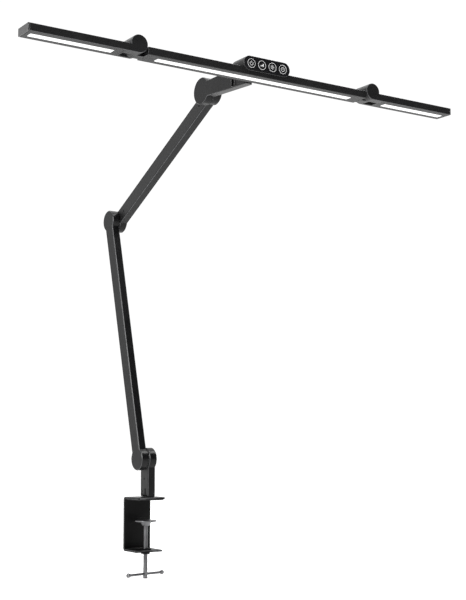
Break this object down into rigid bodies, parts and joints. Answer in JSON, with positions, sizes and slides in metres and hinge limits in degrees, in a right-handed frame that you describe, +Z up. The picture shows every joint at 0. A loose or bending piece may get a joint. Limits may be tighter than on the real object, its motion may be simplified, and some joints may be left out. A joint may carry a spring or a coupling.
{
  "type": "clamp-on light bar",
  "caption": "Clamp-on swing-arm desk lamp: steel desk clamp with pad and screw, post, jointed arms, swivelling head and a slim light bar with folding wings and a touch control pod.",
  "frame": {"origin": "on the desk face under the upper jaw, on the axis of the base swivel", "axes": "+X along the light bar to the right as the user faces it, -Y towards the user, +Z up out of the desk"},
  "size_m": [0.8, 0.5278, 0.8527],
  "materials": {
    "arm_black": "satin black powder coat",
    "clamp_black": "black powder-coated steel plate",
    "plastic_black": "fine-textured black plastic",
    "fascia_black": "gloss black",
    "steel": "turned bright steel",
    "dark_steel": "blackened steel",
    "rubber_black": "matt rubber",
    "nylon_white": "natural nylon",
    "diffuser_white": "satin opal",
    "board_white": "white solder mask"
  },
  "bodies": {
    "clamp": {"clamp_bracket": "clamp_black", "desk_pad": "rubber_black", "screw_bush": "dark_steel", "base_spindle": "steel", "base_washer": "plastic_black"},
    "pad": {"pressure_pad": "steel"},
    "screw": {"clamp_screw": "steel"},
    "handle": {"clamp_handle": "steel", "handle_cap_left": "steel", "handle_cap_right": "steel"},
    "post": {"post_shell": "arm_black", "post_cover": "plastic_black", "post_screw": "dark_steel", "relief_screw_high": "dark_steel", "relief_screw_low": "dark_steel", "cord_grommet": "rubber_black", "shoulder_bolt": "dark_steel", "shoulder_nut": "dark_steel", "shoulder_washer": "nylon_white"},
    "lower_arm": {"lower_arm_shell": "arm_black", "lower_arm_cover": "plastic_black", "lower_arm_screw_low": "dark_steel", "lower_arm_screw_high": "dark_steel"},
    "upper_arm": {"upper_arm_shell": "arm_black", "upper_arm_cover": "plastic_black", "upper_arm_screw_low": "dark_steel", "upper_arm_screw_high": "dark_steel", "elbow_bolt": "dark_steel", "elbow_nut": "dark_steel", "elbow_washer": "nylon_white", "head_bolt": "dark_steel", "head_nut": "dark_steel", "head_washer": "nylon_white"},
    "head": {"head_bracket": "arm_black", "bracket_cover": "plastic_black", "swivel_pin": "dark_steel"},
    "light_bar": {"swivel_yoke": "arm_black", "yoke_screw_left": "dark_steel", "yoke_screw_right": "dark_steel", "centre_housing": "arm_black", "centre_bezel": "plastic_black", "centre_diffuser": "diffuser_white", "centre_led_board": "board_white", "pod_housing": "plastic_black", "touch_fascia": "fascia_black", "touch_board": "board_white", "left_hinge_tongue": "arm_black", "right_hinge_tongue": "arm_black"},
    "left_wing": {"left_wing_housing": "arm_black", "left_wing_bezel": "plastic_black", "left_wing_diffuser": "diffuser_white", "left_wing_led_board": "board_white", "left_wing_end_cap": "plastic_black", "left_wing_hinge_pin": "dark_steel"},
    "right_wing": {"right_wing_housing": "arm_black", "right_wing_bezel": "plastic_black", "right_wing_diffuser": "diffuser_white", "right_wing_led_board": "board_white", "right_wing_end_cap": "plastic_black", "right_wing_hinge_pin": "dark_steel"}
  },
  "joints": [
    {"name": "pad_lift", "type": "slide", "parent": "clamp", "child": "pad", "axis": [0, 0, 1], "range_m": [-0.036, 0.03]},
    {"name": "screw_turn", "type": "hinge", "parent": "pad", "child": "screw", "pos_m": [0, 0.0065, -0.0357], "axis": [0, 0, 1], "range_deg": [-6490, 5410]},
    {"name": "handle_slide", "type": "slide", "parent": "screw", "child": "handle", "axis": [0.9781, 0.2079, 0], "range_m": [-0.029, 0.029]},
    {"name": "base_swivel", "type": "hinge", "parent": "clamp", "child": "post", "pos_m": [0, 0, 0.0065], "axis": [0, 0, 1], "range_deg": [-175, 175]},
    {"name": "shoulder", "type": "hinge", "parent": "post", "child": "lower_arm", "pos_m": [-0.0081, 0, 0.0725], "axis": [1, 0, 0], "range_deg": [-75, 95]},
    {"name": "elbow", "type": "hinge", "parent": "lower_arm", "child": "upper_arm", "pos_m": [-0.0081, 0.11892, 0.51945], "axis": [1, 0, 0], "range_deg": [-75, 60]},
    {"name": "head_tilt", "type": "hinge", "parent": "upper_arm", "child": "head", "pos_m": [-0.0081, -0.21133, 0.69283], "axis": [-1, 0, 0], "range_deg": [-90, 60]},
    {"name": "bar_swivel", "type": "hinge", "parent": "head", "child": "light_bar", "pos_m": [-0.0162, -0.31253, 0.69283], "axis": [0, 0, 1], "range_deg": [-75, 75]},
    {"name": "left_wing_fold", "type": "hinge", "parent": "light_bar", "child": "left_wing", "pos_m": [-0.2392, -0.38703, 0.68634], "axis": [0, 1, 0], "range_deg": [-90, 170]},
    {"name": "right_wing_fold", "type": "hinge", "parent": "light_bar", "child": "right_wing", "pos_m": [0.2068, -0.38703, 0.68634], "axis": [0, -1, 0], "range_deg": [-90, 170]}
  ],
  "couplings": [
    {"joint": "screw_turn", "follows": "pad_lift", "rad_per_m": 3141.6}
  ]
}
